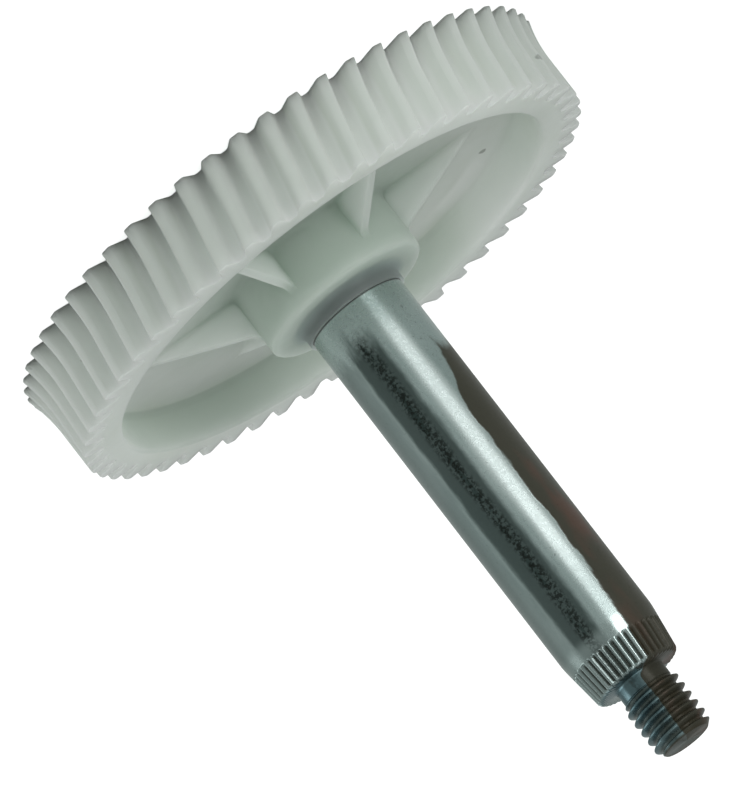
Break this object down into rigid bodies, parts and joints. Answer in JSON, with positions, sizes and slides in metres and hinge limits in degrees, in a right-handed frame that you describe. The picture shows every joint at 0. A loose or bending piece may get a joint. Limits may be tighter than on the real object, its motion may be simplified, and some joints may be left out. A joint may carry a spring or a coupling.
{
  "type": "worm gear motor output shaft with wheel",
  "caption": "White nylon worm wheel moulded onto a plated steel output shaft that ends in a serrated taper and a threaded stud.",
  "frame": {"origin": "centre of the wheel's back face, on the shaft axis, which is the lowest plane of the part", "axes": "+Z along the shaft axis from the wheel towards the threaded stud; X and Y in the plane of the wheel"},
  "size_m": [0.0578, 0.0578, 0.0628],
  "materials": {
    "nylon": "natural white nylon, slightly translucent, satin as moulded",
    "plated_steel": "ground and zinc plated, blue-grey, with light tarnish"
  },
  "bodies": {
    "root": {"worm_wheel": "nylon", "output_shaft": "plated_steel"}
  },
  "joints": []
}
